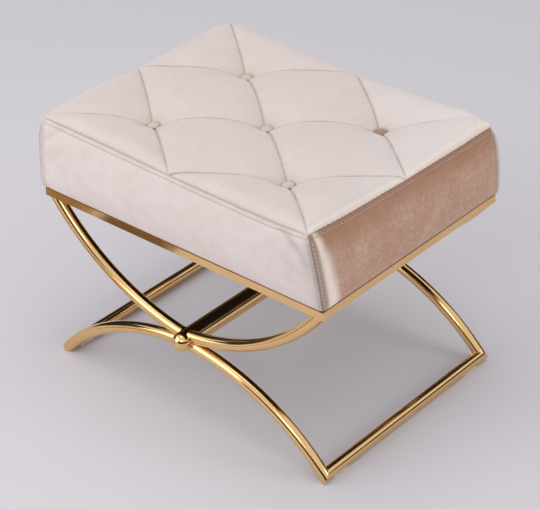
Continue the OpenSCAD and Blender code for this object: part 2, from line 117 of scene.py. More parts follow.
class Recipe:
    """A material and the ways to add nodes to it."""

    def __init__(self, name, owner=None):
        self.owner = owner or bpy.data.materials.new(name)
        self.owner.use_nodes = True
        self.tree = self.owner.node_tree
        self.tree.nodes.clear()

    def node(self, kind, settings=None, values=None, output=0):
        """Adds a node with its settings and inputs, and gives back one of its outputs."""
        made = self.tree.nodes.new(kind)
        for name, setting in (settings or {}).items():
            setattr(made, name, setting)
        for name, value in (values or {}).items():
            if isinstance(value, Value):
                self.tree.links.new(value.socket, made.inputs[name])
            else:
                made.inputs[name].default_value = value
        return Value(self, made.outputs[output]) if made.outputs else made

    def maths(self, operation, first, second=0.0, clamp=False):
        settings = {"operation": operation, "use_clamp": clamp}
        return self.node("ShaderNodeMath", settings, {0: first, 1: second})

    def place(self):
        return self.node("ShaderNodeTexCoord", output="Object")

    def noise(self, size, detail=2.0, roughness=0.5, where=None):
        """Soft noise from 0 to 1 whose blobs are about size metres across."""
        return self.node("ShaderNodeTexNoise", None, {
            "Vector": where or self.place(), "Scale": 1 / size, "Detail": detail, "Roughness": roughness,
        }, "Fac")

    def cells(self, scale):
        """How far each place is from the nearest of many scattered points."""
        return self.node("ShaderNodeTexVoronoi", None, {"Vector": self.place(), "Scale": scale}, "Distance")

    def waves(self, direction, scale, distortion):
        """Soft bands, a little bent, that follow one another along a direction."""
        return self.node("ShaderNodeTexWave", {"bands_direction": direction}, {
            "Vector": self.place(), "Scale": scale, "Distortion": distortion,
        }, "Fac")

    def stretched(self, x, y, z):
        """The place with each direction squeezed by its own factor, for streaks."""
        return self.node("ShaderNodeMapping", None, {"Vector": self.place(), "Scale": (x, y, z)})

    def between(self, value, low, high):
        """0 below low, 1 above high, and a smooth step from one to the other."""
        return self.node("ShaderNodeMapRange", {"interpolation_type": "SMOOTHSTEP"}, {
            "Value": value, "From Min": low, "From Max": high,
        })

    def tone(self, share, first, second):
        """The first colour where share is 0 and the second where it is 1."""
        colours = [(*c, 1.0) if isinstance(c, tuple) else c for c in (first, second)]
        values = {0: share, 6: colours[0], 7: colours[1]}
        return self.node("ShaderNodeMix", {"data_type": "RGBA"}, values, output=2)

    def measure(self, name):
        """A number that the mesh itself carries."""
        return self.node("ShaderNodeAttribute", {"attribute_name": name}, output="Fac")

    def bump(self, height, depth, strength=1.0, over=None):
        """Relief of that height times depth metres, on top of another relief."""
        values = {"Height": height, "Distance": depth, "Strength": strength}
        if over:
            values["Normal"] = over
        return self.node("ShaderNodeBump", None, values)

    def surface(self, values):
        shader = self.node("ShaderNodeBsdfPrincipled", None, values)
        self.node("ShaderNodeOutputMaterial", None, {"Surface": shader})
        return self.owner


def paint(piece, material):
    """Gives every material slot of a piece the same material."""
    if not piece.material_slots:
        piece.data.materials.append(material)
    for slot in piece.material_slots:
        slot.material = material


print("recipes are ready")

# %% [markdown]
# ## The studio
# The ottoman stands on a pale, faintly lilac floor. Its light could be one bright lamp, but the photograph's
# shadows are soft and lie straight under the tubes. So a wide lamp hangs overhead, a second stands to the
# near left, which makes the near side of the cushion as light as the top. A weak one fills the right, and a
# small one beside the camera puts the pale line along the tubes.

# %% Floor
floor_radius = 7.0
bpy.ops.mesh.primitive_circle_add(vertices=96, radius=floor_radius, fill_type="TRIFAN", location=(0, 0, 0))
floor = bpy.context.object
floor.name = "studio_floor"

floor_recipe = Recipe("studio_floor")
floor_shade = floor_recipe.noise(0.9, 2.0)
paint(floor, floor_recipe.surface({
    "Base Color": floor_recipe.tone(floor_shade, (0.700, 0.672, 0.712), (0.735, 0.707, 0.745)),
    "Roughness": 0.55,
    "Specular IOR Level": 0.25,
}))
print("floor radius", floor_radius)

# %% Lamps
def lamp(name, place, aim, width, power, colour=(1.0, 1.0, 1.0)):
    """A square soft lamp at a place, turned to another place."""
    bpy.ops.object.light_add(type="AREA", location=place)
    made = bpy.context.object
    made.name = name
    made.rotation_euler = (Vector(aim) - Vector(place)).to_track_quat("-Z", "Y").to_euler()
    made.data.size = width
    made.data.energy = power
    made.data.color = colour
    return made


lamp("lamp_overhead", (-0.15, -0.1, 2.7), (0, 0, 0.3), 1.6, 9.5)
lamp("lamp_near_left", (-1.5, -2.3, 1.5), (0, 0, 0.3), 2.2, 31.5)
lamp("lamp_right", (2.6, 0.9, 1.1), (0, 0, 0.3), 1.0, 12)
lamp("lamp_camera_side", (1.3, -2.4, 2.2), (0, 0, 0.3), 0.8, 7)

# %% [markdown]
# ## Dark cloth for the metal to reflect
# Polished metal shows whatever stands round it. In an evenly pale room gold looks like pale plastic, so a
# photographer puts dark flags round the set, and the tubes then show crisp dark bands between their pale
# lines. Here a low ring of dark cloth stands round the studio, which draws thin lines, and a tall screen
# stands behind the ottoman, which draws the broad bands along the upper sides of the tubes. Two small brown
# flags lie on the floor before the near side and make the left half of the rim's face brown. Only reflections
# see them: they take no light from the ottoman and don't show in the picture.

# %% Select by place
def deselect_all():
    for thing in list(bpy.context.selected_objects):
        thing.select_set(False)


def pick_faces(piece, wanted):
    """In edit mode, selects only the faces for which wanted(middle, normal) is true."""
    bpy.ops.mesh.select_mode(type="FACE")
    bpy.ops.mesh.select_all(action="DESELECT")
    bpy.ops.object.mode_set(mode="OBJECT")
    for face in piece.data.polygons:
        face.select = bool(wanted(face.center, face.normal))
    bpy.ops.object.mode_set(mode="EDIT")


deselect_all()
print("nothing selected:", len(bpy.context.selected_objects) == 0)

# %% Cloth that only reflections see
def studio_cloth(name, dark, light):
    recipe = Recipe(name)
    return recipe.surface({
        "Base Color": recipe.tone(recipe.noise(0.5, 2.0), dark, light),
        "Roughness": 0.9,
        "Specular IOR Level": 0.1,
    })


def seen_by_reflections_only(piece):
    """Hides a studio piece from the camera, the soft light and the shadows."""
    piece.visible_camera = piece.visible_diffuse = piece.visible_shadow = piece.visible_transmission = False


dark_cloth = studio_cloth("studio_dark_cloth", (0.020, 0.018, 0.018), (0.045, 0.040, 0.040))
brown_cloth = studio_cloth("studio_brown_cloth", (0.13, 0.09, 0.055), (0.21, 0.15, 0.09))
tan_cloth = studio_cloth("studio_tan_cloth", (0.28, 0.21, 0.13), (0.36, 0.27, 0.17))
print("studio cloths are ready")

# %% Dark ring and tall screen
def dark_screen(name, radius, low, high):
    """An open cylinder of dark cloth round the studio, which only reflections see."""
    bpy.ops.mesh.primitive_cylinder_add(vertices=96, radius=radius, depth=high - low, end_fill_type="NOTHING",
                                        location=(0, 0, (low + high) / 2))
    bpy.ops.object.transform_apply(location=True)
    made = bpy.context.object
    made.name = name
    seen_by_reflections_only(made)
    paint(made, dark_cloth)
    return made


ring_radius = 3.4
screen_radius = 2.7
screen_half_spread = math.radians(60)
dark_screen("studio_dark_ring", ring_radius, 0.30, 1.55)
screen = dark_screen("studio_tall_screen", screen_radius, 0.10, 4.4)
away = Vector((view_direction.x, view_direction.y, 0)).normalized()
bpy.ops.object.mode_set(mode="EDIT")
pick_faces(screen, lambda middle, normal: middle.dot(away) < screen_radius * math.cos(screen_half_spread))
bpy.ops.mesh.delete(type="FACE")
bpy.ops.object.mode_set(mode="OBJECT")
print("screen faces left", len(screen.data.polygons))

# %% Floor flags
flag_middle_y = -0.56
flag_depth = 0.34
flag_height = 0.001


def floor_flag(name, middle_x, width, cloth):
    """A flat sheet of cloth that lies on the floor before the near side."""
    bpy.ops.mesh.primitive_plane_add(size=1, location=(middle_x, flag_middle_y, flag_height))
    bpy.ops.transform.resize(value=(width, flag_depth, 1))
    bpy.ops.object.transform_apply(location=True, scale=True)
    flag = bpy.context.object
    flag.name = name
    seen_by_reflections_only(flag)
    paint(flag, cloth)


floor_flag("studio_flag_inner", -0.41, 0.17, brown_cloth)
floor_flag("studio_flag_outer", -0.59, 0.14, tan_cloth)
print("two floor flags")

# %% World
# The room looks brighter to the camera and in reflections than its soft light is.
world = bpy.data.worlds.new("studio")
bpy.context.scene.world = world
air = Recipe("studio", world)
seen_by = [air.node("ShaderNodeLightPath", output=name)
           for name in ("Is Camera Ray", "Is Glossy Ray", "Is Transmission Ray")]
direct = air.maths("ADD", seen_by[0] + seen_by[1], seen_by[2], clamp=True)
ambient_level = 0.65
backdrop = air.node("ShaderNodeBackground", None, {
    "Color": air.tone(direct, (0.97, 0.975, 1.0), (0.86, 0.85, 0.88)),
    "Strength": ambient_level + direct * (1.0 - ambient_level),
})
air.node("ShaderNodeOutputWorld", None, {"Surface": backdrop})
bpy.context.scene.view_settings.view_transform = "Standard"
print("ambient level", ambient_level)

# %% [markdown]
# ## Polished gold
# The tubes are steel with a bright gold-coloured plating. A metal's look is its reflections: pale where a
# tube faces the floor and the lamps, black where it faces the dark cloth under the seat. The plating needs
# hardly any pattern of its own, only a slow change of tone, faint polishing marks along the surface that
# spread the highlights a little, and soft smudges in its gloss.

# %% Gold
gold_recipe = Recipe("polished_gold")
gold_tone = gold_recipe.noise(0.14, 3.0)
polish_marks = gold_recipe.noise(0.0012, 2.0, 0.6, gold_recipe.stretched(0.12, 0.12, 1.0))
smudges = gold_recipe.between(gold_recipe.noise(0.035, 3.0), 0.45, 0.75)
gold = gold_recipe.surface({
    "Base Color": gold_recipe.tone(gold_tone, (0.785, 0.500, 0.220), (0.875, 0.590, 0.280)),
    "Metallic": 1.0,
    "Roughness": 0.085 + smudges * 0.07 + polish_marks * 0.05,
    "Normal": gold_recipe.bump(polish_marks, 0.00002, 0.25),
})
print("gold nodes", len(gold.node_tree.nodes))

# %% [markdown]
# ## The pieces under the seat
# Under the seat are a black non-woven dust cloth with its staples, zinc-plated screws and washers, plastic
# pads at the feet, and inside the cushion the plywood board and the tufting twine. They are seen only from
# low down, but each gets the pattern of its own material, at its real scale.

# %% Cloth, plywood and twine
dust_recipe = Recipe("dust_cloth")
fibres = dust_recipe.noise(0.0011, 3.0, 0.7)
dimples = dust_recipe.cells(700.0)
dust_cloth = dust_recipe.surface({
    "Base Color": dust_recipe.tone(fibres, (0.008, 0.008, 0.009), (0.022, 0.022, 0.024)),
    "Roughness": 0.75 + fibres * 0.15,
    "Specular IOR Level": 0.15,
    "Normal": dust_recipe.bump(dimples, 0.0003, 0.6),
})

plywood_recipe = Recipe("plywood")
grain = plywood_recipe.noise(0.004, 4.0, 0.6, plywood_recipe.stretched(0.06, 1.0, 1.0))
plies = plywood_recipe.waves("Z", 110.0, 0.6)
plywood = plywood_recipe.surface({
    "Base Color": plywood_recipe.tone(grain * 0.7 + plies * 0.3, (0.42, 0.27, 0.14), (0.68, 0.50, 0.31)),
    "Roughness": 0.6 + grain * 0.2,
    "Normal": plywood_recipe.bump(grain, 0.0002, 0.5),
})

twine_recipe = Recipe("waxed_twine")
twist_lines = twine_recipe.waves("DIAGONAL", 700.0, 0.4)
twine = twine_recipe.surface({
    "Base Color": twine_recipe.tone(twist_lines, (0.58, 0.53, 0.44), (0.80, 0.76, 0.66)),
    "Roughness": 0.55 + twist_lines * 0.15,
    "Normal": twine_recipe.bump(twist_lines, 0.0002, 0.8),
})
print("cloth, plywood and twine are ready")

# %% Zinc and plastics
zinc_recipe = Recipe("zinc_plating")
spangle = zinc_recipe.cells(900.0)
zinc = zinc_recipe.surface({
    "Base Color": zinc_recipe.tone(spangle, (0.52, 0.53, 0.56), (0.68, 0.68, 0.68)),
    "Metallic": 1.0,
    "Roughness": 0.28 + spangle * 0.14,
})


def plastic(name, dark, light, gloss):
    """Moulded plastic: nearly plain, with a fine grain and a slight change of tone."""
    recipe = Recipe(name)
    texture = recipe.noise(0.0008, 2.0, 0.6)
    return recipe.surface({
        "Base Color": recipe.tone(recipe.noise(0.02, 2.0), dark, light),
        "Roughness": gloss + texture * 0.12,
        "Normal": recipe.bump(texture, 0.00008, 0.6),
    })


pad_plastic = plastic("pad_plastic", (0.70, 0.70, 0.68), (0.78, 0.78, 0.76), 0.38)
washer_plastic = plastic("washer_plastic", (0.018, 0.018, 0.019), (0.030, 0.030, 0.031), 0.42)
print("zinc and plastics are ready")

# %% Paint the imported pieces
inner_filling = plastic("inner_filling", (0.80, 0.78, 0.70), (0.88, 0.86, 0.80), 0.85)
finishes = {
    "gold_tube": gold, "black_cloth": dust_cloth, "plywood": plywood, "twine": twine,
    "plain_steel": zinc, "pad_plastic": pad_plastic, "black_plastic": washer_plastic,
}
for subpart in frame["record"]["subparts"]:
    paint(nodes[subpart["node"]], finishes.get(subpart["material_slot"], inner_filling))

# %% [markdown]
# ## The cushion's form
# The cushion is one closed skin: a top panel and four side bands, sewn together along the top edge and down
# the corners. It could be sculpted by hand, but tufting has a plain geometry. The buttons sit at the middle
# and at the quarter points, and the pleats run straight between them and on to the corners and the middles
# of the edges, which cuts the top into diamonds. So the top starts as a grid measured in shares of the seat,
# and its height is one formula: a plump layer with a round shoulder all the way along the seam, a puff inside
# each diamond, a pit at each button and some extra stuffing in the far corners, which stand higher in the
# photograph. Every cell is split to its middle, so that each pleat runs along edges of the mesh, and the grid
# is drawn closer at the seams and the buttons, where the form turns fastest.

# %% Sizes of the cushion
band_low, band_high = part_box("cover_side_near")
hem_z = band_low.z
seam_z = band_high.z
seam_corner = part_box("cover_top")[1]
half_l = round(seam_corner.x, 4)
half_w = round(seam_corner.y, 4)
corner_radius = 0.008
button_shares = ((0.0, 0.0), (-0.25, -0.25), (0.25, -0.25), (-0.25, 0.25), (0.25, 0.25))
layer_height = 0.007
puff_height = 0.0085
shoulder_reach = 0.018
pit_depth = 0.020
pit_reach = 0.033
pit_relief = 0.4
corner_drop = 0.4
corner_drop_reach = 0.026
PLUMPNESS = {(-1, -1): 0.0, (1, -1): 0.004, (-1, 1): 0.013, (1, 1): 0.014}
plump_reach = 0.07
print("hem at", round(hem_z, 4), "seam at", round(seam_z, 4), "half sizes", half_l, half_w)

# %% Read and move points
def points_of(piece):
    """The places of a mesh's points, as an array of x, y and z."""
    places = np.empty(len(piece.data.vertices) * 3)
    piece.data.vertices.foreach_get("co", places)
    return places.reshape(-1, 3)


def move_points(piece, places):
    piece.data.vertices.foreach_set("co", np.asarray(places, float).ravel())
    piece.data.update()


def carry(piece, name, numbers, kind="FLOAT", domain="POINT"):
    """Stores a number for each point, face or face corner of a mesh, where a material can read it."""
    piece.data.attributes.new(name, kind, domain).data.foreach_set("value", numbers)


def carried(piece, name, kind=float):
    """The numbers that a mesh carries under a name."""
    layer = piece.data.attributes[name].data
    numbers = np.empty(len(layer), kind)
    layer.foreach_get("value", numbers)
    return numbers


print("point helpers are ready")

# %% Heights of the top
def button_distance(x, y):
    """How far a place on the top is from the nearest button."""
    return np.min([np.hypot(x - a * 2 * half_l, y - b * 2 * half_w) for a, b in button_shares], axis=0)


def pleat_distances(x, y):
    """How far a place on the top is from the nearest pleat of each of the two directions."""
    p, q = x / (2 * half_l), y / (2 * half_w)
    tilt = math.hypot(1 / (2 * half_l), 1 / (2 * half_w))
    return [np.abs(2 * s - np.rint(2 * s)) / 2 / tilt for s in (p - q, p + q)]


def corner_distance(x, y):
    return np.hypot(half_l - np.abs(x), half_w - np.abs(y))


def shoulder(gap):
    """A quarter circle that climbs from 0 at the seam to 1 at the shoulder's reach."""
    return np.sqrt(1 - (1 - np.clip(gap / shoulder_reach, 0, 1)) ** 2)


def top_height(x, y, puffs=puff_height):
    """The height of the top over the seam's plane."""
    p, q = x / (2 * half_l), y / (2 * half_w)
    edge = shoulder(half_l - np.abs(x)) * shoulder(half_w - np.abs(y))
    edge = edge * (1 - corner_drop * np.exp(-(corner_distance(x, y) / corner_drop_reach) ** 2))
    net = np.abs(np.sin(2 * np.pi * (p + q)) * np.sin(2 * np.pi * (p - q))) ** 0.5
    plump_corner = sum(plump * np.exp(-((half_l - sx * x) ** 2 + (half_w - sy * y) ** 2) / plump_reach ** 2)
                       for (sx, sy), plump in PLUMPNESS.items())
    pit = np.exp(-(button_distance(x, y) / pit_reach) ** 1.5)
    return edge * (layer_height + puffs * net + plump_corner) - pit_depth * pit * (1 - pit_relief * net)


print("middle of the top", round(float(top_height(0.0, 0.0)) * 1000, 1), "mm over the seam")

# %% Top panel
grid_cells = 64
closeness = 0.02
bpy.ops.mesh.primitive_grid_add(x_subdivisions=grid_cells, y_subdivisions=grid_cells, size=1)
cushion = bpy.context.object
cushion.name = "cushion"
bpy.ops.object.mode_set(mode="EDIT")
bpy.ops.mesh.select_all(action="SELECT")
bpy.ops.mesh.poke()
bpy.ops.object.mode_set(mode="OBJECT")
shares = points_of(cushion)
shares = shares - closeness * np.sin(8 * np.pi * shares)
top_count = len(shares)
across, along = shares[:, 0] * 2 * half_l, shares[:, 1] * 2 * half_w
move_points(cushion, np.stack([across, along, seam_z + top_height(across, along)], 1))
print("top panel", top_count, "points")

# %% Side bands and underside
side_rows = 26
row_height = (seam_z - hem_z) / side_rows
bpy.ops.object.mode_set(mode="EDIT")
bpy.ops.mesh.select_all(action="SELECT")
bpy.ops.mesh.region_to_loop()
for row in range(side_rows):
    bpy.ops.mesh.extrude_edges_move(TRANSFORM_OT_translate={"value": (0, 0, -row_height)})
bpy.ops.mesh.fill_grid(span=grid_cells)
bpy.ops.mesh.select_all(action="SELECT")
bpy.ops.mesh.normals_make_consistent(inside=False)
bpy.ops.object.mode_set(mode="OBJECT")
print("cushion", len(cushion.data.vertices), "points,", len(cushion.data.polygons), "faces")

# %% Name the panels
PANELS = {"top": 0, "near": 1, "far": 2, "left": 3, "right": 4, "under": 5}
panel_of_face = np.zeros(len(cushion.data.polygons), int)
for face in cushion.data.polygons:
    if face.center.z < hem_z + 0.001:
        panel = "under"
    elif max(face.vertices) < top_count:
        panel = "top"
    elif abs(face.normal.y) > abs(face.normal.x):
        panel = "near" if face.normal.y < 0 else "far"
    else:
        panel = "left" if face.normal.x < 0 else "right"
    panel_of_face[face.index] = PANELS[panel]
carry(cushion, "panel", panel_of_face, "INT", "FACE")
print("faces per panel", {n: int((panel_of_face == k).sum()) for n, k in PANELS.items()})

# %% Measures along the cover
touching = 1e-5
places = points_of(cushion)
on_side = np.arange(len(places)) >= top_count
end_gap = half_l - np.abs(places[:, 0])
flank_gap = half_w - np.abs(places[:, 1])
edge_gap = np.minimum(end_gap, flank_gap)
below_seam = np.where(on_side, seam_z - places[:, 2], -edge_gap)
from_corner = np.where(on_side, np.maximum(end_gap, flank_gap), np.hypot(end_gap, flank_gap))
on_end = on_side & (end_gap < touching)
on_flank = on_side & (flank_gap < touching)
carry(cushion, "below_seam", below_seam)
carry(cushion, "from_corner", from_corner)
print("deepest side point", round(float(below_seam.max()), 4))

# %% Round the corners and swell the sides
down_share = np.clip(below_seam / (seam_z - hem_z), 0, 1)
swell_start = 0.0085


def rounded(places):
    """The same points with the cushion's upright corners rounded off."""
    near_end = np.clip((np.abs(places[:, 0]) - half_l + corner_radius) / corner_radius, 0, 1)
    near_flank = np.clip((np.abs(places[:, 1]) - half_w + corner_radius) / corner_radius, 0, 1)
    x = np.minimum(np.abs(places[:, 0]), half_l - corner_radius)
    y = np.minimum(np.abs(places[:, 1]), half_w - corner_radius)
    x = x + corner_radius * near_end * np.sqrt(1 - near_flank ** 2 / 2)
    y = y + corner_radius * near_flank * np.sqrt(1 - near_end ** 2 / 2)
    return np.stack([np.sign(places[:, 0]) * x, np.sign(places[:, 1]) * y, places[:, 2]], 1)


places = rounded(places)
swell = swell_start * (1 - (1 - down_share) ** 7) * np.sqrt(1 - down_share ** 20)
places[:, 0] += np.where(on_end, np.sign(places[:, 0]) * swell, 0)
places[:, 1] += np.where(on_flank, np.sign(places[:, 1]) * swell, 0)
move_points(cushion, places)
print("swell before stuffing", swell_start)

# %% [markdown]
# ## Stuffing the cushion
# A stuffed cover is tight between its seams and rounds out where nothing holds it. That could be drawn with
# curves, but Blender's cloth does it as the real cushion does: the seams, the pleats and the buttons are
# pinned, and pressure inside pushes the rest of the cover out until its own tension stops it. Then the small
# ripples of the simulation are smoothed, because this velvet lies smooth, and the move of each point is
# capped so that the cover stays in its place on the frame.

# %% Hold the seams, pleats and buttons
held_round_button = 0.008
held_from_share = 0.97
corner_hold = 0.9
hold = np.zeros(len(places))
net_gap = np.minimum(*pleat_distances(across, along))
hold[:top_count][net_gap < touching] = 1.0
hold[:top_count][button_distance(across, along) < held_round_button] = 1.0
hold[~on_side & (edge_gap < touching)] = 1.0
hold[on_side & (down_share > held_from_share)] = 1.0
hold[on_end & on_flank] = np.maximum(hold[on_end & on_flank], corner_hold)
held = cushion.vertex_groups.new(name="held")
for weight in np.unique(hold[hold > 0]):
    held.add(np.flatnonzero(hold == weight).tolist(), float(weight), "REPLACE")
loose = cushion.vertex_groups.new(name="loose")
loose.add(np.flatnonzero(hold == 0).tolist(), 1.0, "REPLACE")
print("held points", int((hold > 0).sum()), "of", len(hold))

# %% Inflate with cloth
before = points_of(cushion)
largest_move = 0.012
cloth_steps = 20
cloth = cushion.modifiers.new("cloth", "CLOTH")
cover = cloth.settings
cover.quality = 5
cover.mass = 0.3
cover.tension_stiffness = 25
cover.compression_stiffness = 25
cover.shear_stiffness = 15
cover.bending_stiffness = 20
cover.vertex_group_mass = "held"
cover.use_pressure = True
cover.uniform_pressure_force = 4
cover.shrink_min = 0.0
cover.effector_weights.gravity = 0
for step in range(1, cloth_steps + 1):
    bpy.context.scene.frame_set(step)
bpy.ops.object.modifier_apply(modifier="cloth")
moved = points_of(cushion) - before
length = np.linalg.norm(moved, axis=1, keepdims=True)
moved *= np.minimum(1, largest_move / np.maximum(length, 1e-9))
move_points(cushion, before + moved)
print("largest move", round(float(length.max()) * 1000, 1), "mm")
bpy.context.scene.frame_set(1)

# %% Smooth the ripples and refine
smoothing = cushion.modifiers.new("smoothing", "SMOOTH")
smoothing.factor = 0.5
smoothing.iterations = 8
smoothing.vertex_group = "loose"
bpy.ops.object.modifier_apply(modifier="smoothing")
refine = cushion.modifiers.new("refine", "SUBSURF")
refine.levels = refine.render_levels = 1
bpy.ops.object.modifier_apply(modifier="refine")
bpy.ops.object.shade_smooth()
fine = points_of(cushion)
print("top of the puffs", round((float(fine[:, 2].max()) - seam_z) * 1000, 1), "mm over the seam")

# %% [markdown]
# ## Pleats, seams and creases
# At a pleat the velvet folds under itself, so a thin dark line shows, with one lip a little higher than the
# other. At a seam the two panels dive together, and the row of topstitching beside it presses the velvet
# down again. Both are narrower than the simulation's cells, so they are pressed in afterwards, on the finer
# mesh. Each point is moved along the surface's own normal.

# %% Distances on the finer mesh
def bell(distance, reach):
    """1 at the line itself, and nothing further away than about twice the reach."""
    return np.exp(-(distance / reach) ** 2)


def relief(distance, parts):
    """The height of a moulding made of bells, each with its own height, place and reach."""
    return sum(height * bell(distance - place, reach) for height, place, reach in parts)


below_seam, from_corner = carried(cushion, "below_seam"), carried(cushion, "from_corner")
on_top = below_seam < -touching
x, y = fine[:, 0], fine[:, 1]
level_gap, steep_gap = (np.where(on_top, gap, 1.0) for gap in pleat_distances(x, y))
net_gap = np.minimum(level_gap, steep_gap)
button_gap = np.where(on_top, button_distance(x, y), 1.0)
fade_start = np.where(x > 0, 0.060, 0.035)
fade_length = 0.045
corner_fade = np.clip((corner_distance(x, y) - fade_start) / fade_length, 0, 1)
carry(cushion, "level_gap", level_gap)
carry(cushion, "steep_gap", steep_gap)
carry(cushion, "button_gap", button_gap)
carry(cushion, "corner_fade", corner_fade)
print("points on pleats", int((net_gap < 1e-4).sum()))

# %% Press in the pleats
fold_depth = 0.0022
fold_reach = 0.0017
lip_height = 0.0011
lip_place = 0.004
lip_reach = 0.006
gather_height = 0.0007
gather_count = 11
edge_fade = np.clip(-below_seam / 0.02, 0, 1)
line_side = np.sign(np.sin(2 * np.pi * (x / half_l - y / half_w)) + 0.001)
pleat_fade = np.where(steep_gap < level_gap, 1.0, corner_fade)
folds = -fold_depth * bell(net_gap, fold_reach) * (0.2 + 0.8 * pleat_fade) * (0.5 + 0.5 * edge_fade)
lips = lip_height * bell(net_gap - lip_place, lip_reach) * (0.4 + 0.6 * line_side) * pleat_fade * edge_fade
gathers = gather_height * np.sin(gather_count * np.arctan2(y, x)) * bell(button_gap - 0.014, 0.006)
fine[:, 2] += np.where(on_top, folds + lips * bell(button_gap - 0.03, 0.05) + gathers, 0)
move_points(cushion, fine)
print("deepest fold", round(float(folds.min()) * 1000, 2), "mm")

# %% Press in the seams and the topstitched rows
topstitch_drop = 0.0056
corner_stitch_gap = 0.0036
SEAM_RELIEF = (
    (-0.0015, 0.0, 0.0014),
    (0.0011, 0.0028, 0.0016),
    (-0.0011, topstitch_drop, 0.0016),
    (0.0008, -0.003, 0.0018),
)
CORNER_RELIEF = ((-0.0016, 0.0, 0.0016), (0.0007, corner_stitch_gap, 0.002))
seam_clearance = 0.003
normals = np.empty(len(fine) * 3)
cushion.data.vertices.foreach_get("normal", normals)
normals = normals.reshape(-1, 3)
on_sides = (below_seam > -touching) & (fine[:, 2] > hem_z + 0.002)
seam = relief(below_seam, SEAM_RELIEF)
post = np.where(on_sides & (below_seam > seam_clearance), relief(from_corner, CORNER_RELIEF), 0)
fine = points_of(cushion) + normals * (seam + post)[:, None]
move_points(cushion, fine)
print("points pressed at seams", int((np.abs(seam + post) > 1e-4).sum()))

# %% Pull creases at the corners
def crease(corner_gap, drop, start, end, depth, reach):
    """A thin ridge from one place to another, with a shallow valley on the side of the corner.

    Both places are measured from the corner and from the seam, on a side band."""
    a, b = Vector(start), Vector(end)
    span = b - a
    t = ((corner_gap - a.x) * span.x + (drop - a.y) * span.y) / span.length_squared
    t = np.clip(t, 0, 1)
    away = np.hypot(corner_gap - a.x - t * span.x, drop - a.y - t * span.y)
    side = np.sign((corner_gap - a.x) * span.y - (drop - a.y) * span.x)
    valley = bell(side * away + 1.5 * reach, 1.2 * reach)
    return depth * (0.8 * bell(away, 0.6 * reach) - valley) * np.sin(np.pi * np.clip(0.12 + 0.8 * t, 0, 1))


CORNER_PULLS = (
    ((0.050, 0.008), (0.006, 0.040), 0.0032, 0.0042),
    ((0.024, 0.034), (0.004, 0.054), 0.0024, 0.0042),
    ((0.060, 0.044), (0.010, 0.078), 0.0012, 0.0070),
)
dent_depth = 0.0016
dent_place = 0.008
dent_reach = 0.005
at_near_right = (x > 0) & (y < 0)
faces_end = np.abs(normals[:, 0]) > np.abs(normals[:, 1])
pull_share = np.where(at_near_right, 1.0, 0.35) * np.where(faces_end, 0.3, 1.0)
pulls = pull_share * sum(crease(from_corner, below_seam, *pull) for pull in CORNER_PULLS)
dent_share = np.sin(np.pi * np.clip(below_seam / 0.11, 0, 1)) ** 0.5
soft_dent = -dent_depth * bell(from_corner - dent_place, dent_reach) * dent_share
sides_only = on_sides & (below_seam > 0.004)
fine = points_of(cushion) + normals * np.where(sides_only, pulls + soft_dent, 0)[:, None]
move_points(cushion, fine)
crease_shade = np.clip(np.where(sides_only, -pulls, 0) / 0.003, 0, 1)
carry(cushion, "crease_shade", crease_shade)
print("corner pulls", len(CORNER_PULLS))

# %% [markdown]
# ## Brushed velvet
# Velvet is a dense pile of short fibres. Where the pile leans towards the eye it looks pale, and where it
# leans away it looks deep and rosy, which is why the right end of this cushion is so much darker than its
# top although both are the same cloth. A picture of velvet could be wrapped on, but here the lean of the pile
# is a number that the mesh carries: each panel has its own, with patches where a hand has brushed it. Above
# a lean of 1 the same number carries a painted highlight, where the cloth turns over an edge and would catch
# light. The shader adds sheen for the fibre tips, a fine pile, and thin dark lines of painted shade inside
# pleats and seams, with more painted shade in the pits, under the end seams, beside corners and in creases.

# %% Where each corner of a face lies
panel_of_face = carried(cushion, "panel", int)
corner_count = np.empty(len(cushion.data.polygons), int)
cushion.data.polygons.foreach_get("loop_total", corner_count)
point_of_loop = np.empty(len(cushion.data.loops), int)
cushion.data.loops.foreach_get("vertex_index", point_of_loop)
loop_x, loop_y, loop_z = fine[point_of_loop].T
corner_gap = from_corner[point_of_loop]
drop_share = below_seam[point_of_loop] / (seam_z - hem_z)


def on_panels(*names):
    """Which corners of faces belong to one of these panels."""
    return np.repeat(np.isin(panel_of_face, [PANELS[name] for name in names]), corner_count)


on_ends = on_panels("left", "right")
print("corners of faces", len(point_of_loop), "on the ends", int(on_ends.sum()))

# %% Lean of the pile, with painted highlights
PANEL_LEAN = {"top": 0.86, "near": 0.93, "far": 0.88, "left": 0.80, "right": 0.08, "under": 0.6}
full_highlight_lean = 1.25
stroke_lean = 0.06
far_right_lean = 0.14
seam_lean = 0.14
band_start, band_rise = 0.004, 0.006
band_end, band_widening, band_fall = 0.018, 0.015, 0.013
lean_of_panel = np.array([PANEL_LEAN[name] for name in PANELS])
lean = np.repeat(lean_of_panel[panel_of_face], corner_count)
brush_x, brush_z = loop_x * 95, loop_z * 85
strokes = np.sin(brush_x + 3 * np.sin(brush_z * 0.7)) * np.sin(brush_z + 2 * np.sin(brush_x * 0.5))
lean = lean + np.where(on_panels("near", "far"), stroke_lean * strokes - 0.02, 0)
to_far_right = np.clip((loop_x + loop_y - 0.15) / 0.2, 0, 1)
right_gap = half_l - loop_x
# Painted highlight along the top's right edge, where its shoulder turns away from the lamps.
right_edge_highlight = 0.38 * bell(right_gap - 0.001, 0.0045) + 0.07 * bell(right_gap, 0.03)
lean = lean + np.where(on_panels("top"), far_right_lean * to_far_right + right_edge_highlight, 0)
